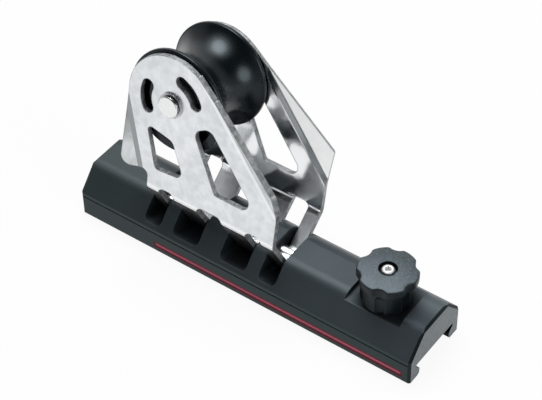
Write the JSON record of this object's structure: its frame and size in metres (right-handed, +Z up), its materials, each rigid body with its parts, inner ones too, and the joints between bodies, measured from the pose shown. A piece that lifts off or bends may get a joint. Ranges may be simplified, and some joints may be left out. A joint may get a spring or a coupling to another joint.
{
  "type": "track car",
  "caption": "Sliding track car with a tilting folded stainless frame, a wide sheave on an axle and a spring plunger lifted by a lobed knob.",
  "frame": {"origin": "middle of the car's length and width, on the plane of its two lower lips", "axes": "+X along the track towards the knob, +Y across it, +Z up; the side plates lean towards +Y"},
  "size_m": [0.172, 0.0533, 0.1007],
  "materials": {
    "black_anodised": "hard black anodised, fine matt grain, brighter at the edges",
    "red_stripe": "satin red stripe with darker borders",
    "machined_stainless": "fine turned finish",
    "polished_stainless": "polished faces, rough cut edges",
    "spring_steel": "drawn wire",
    "bearing_plastic": "smooth bearing plastic",
    "gloss_black": "glossy black",
    "knob_plastic": "fine moulded grain",
    "insert_brass": "turned"
  },
  "bodies": {
    "car": {"car_body": "black_anodised", "side_stripe_near": "red_stripe", "side_stripe_far": "red_stripe", "hinge_pin": "machined_stainless", "hinge_grub_screw": "machined_stainless", "guide_bushing": "machined_stainless", "plunger_spring": "spring_steel"},
    "frame": {"folded_frame": "polished_stainless", "axle": "machined_stainless", "retaining_rings": "spring_steel", "inner_sleeve": "machined_stainless", "thrust_washer_near": "bearing_plastic", "thrust_washer_far": "bearing_plastic"},
    "sheave": {"sheave": "gloss_black", "outer_race": "machined_stainless", "bearing_rollers": "bearing_plastic"},
    "lift_seat": {"spring_seat": "bearing_plastic"},
    "plunger": {"plunger_pin": "machined_stainless", "knob": "knob_plastic", "knob_insert": "insert_brass", "knob_screw": "machined_stainless"}
  },
  "joints": [
    {"name": "frame_tilt", "type": "hinge", "parent": "car", "child": "frame", "pos_m": [-0.01695, 0, 0.016], "axis": [1, 0, 0], "range_deg": [-20.8, 43.2]},
    {"name": "sheave_spin", "type": "hinge", "parent": "frame", "child": "sheave", "pos_m": [-0.0406, 0.01163, 0.07476], "axis": [0, 0.981, -0.1942], "continuous": true},
    {"name": "plunger_lift", "type": "slide", "parent": "car", "child": "lift_seat", "axis": [0, 0, 1], "range_m": [0, 0.0055], "stiffness_N_per_m": 800, "springref_m": -0.006, "deforming": ["plunger_spring"]},
    {"name": "knob_turn", "type": "hinge", "parent": "lift_seat", "child": "plunger", "pos_m": [0.0621, 0, 0.03], "axis": [0, 0, 1], "continuous": true}
  ]
}
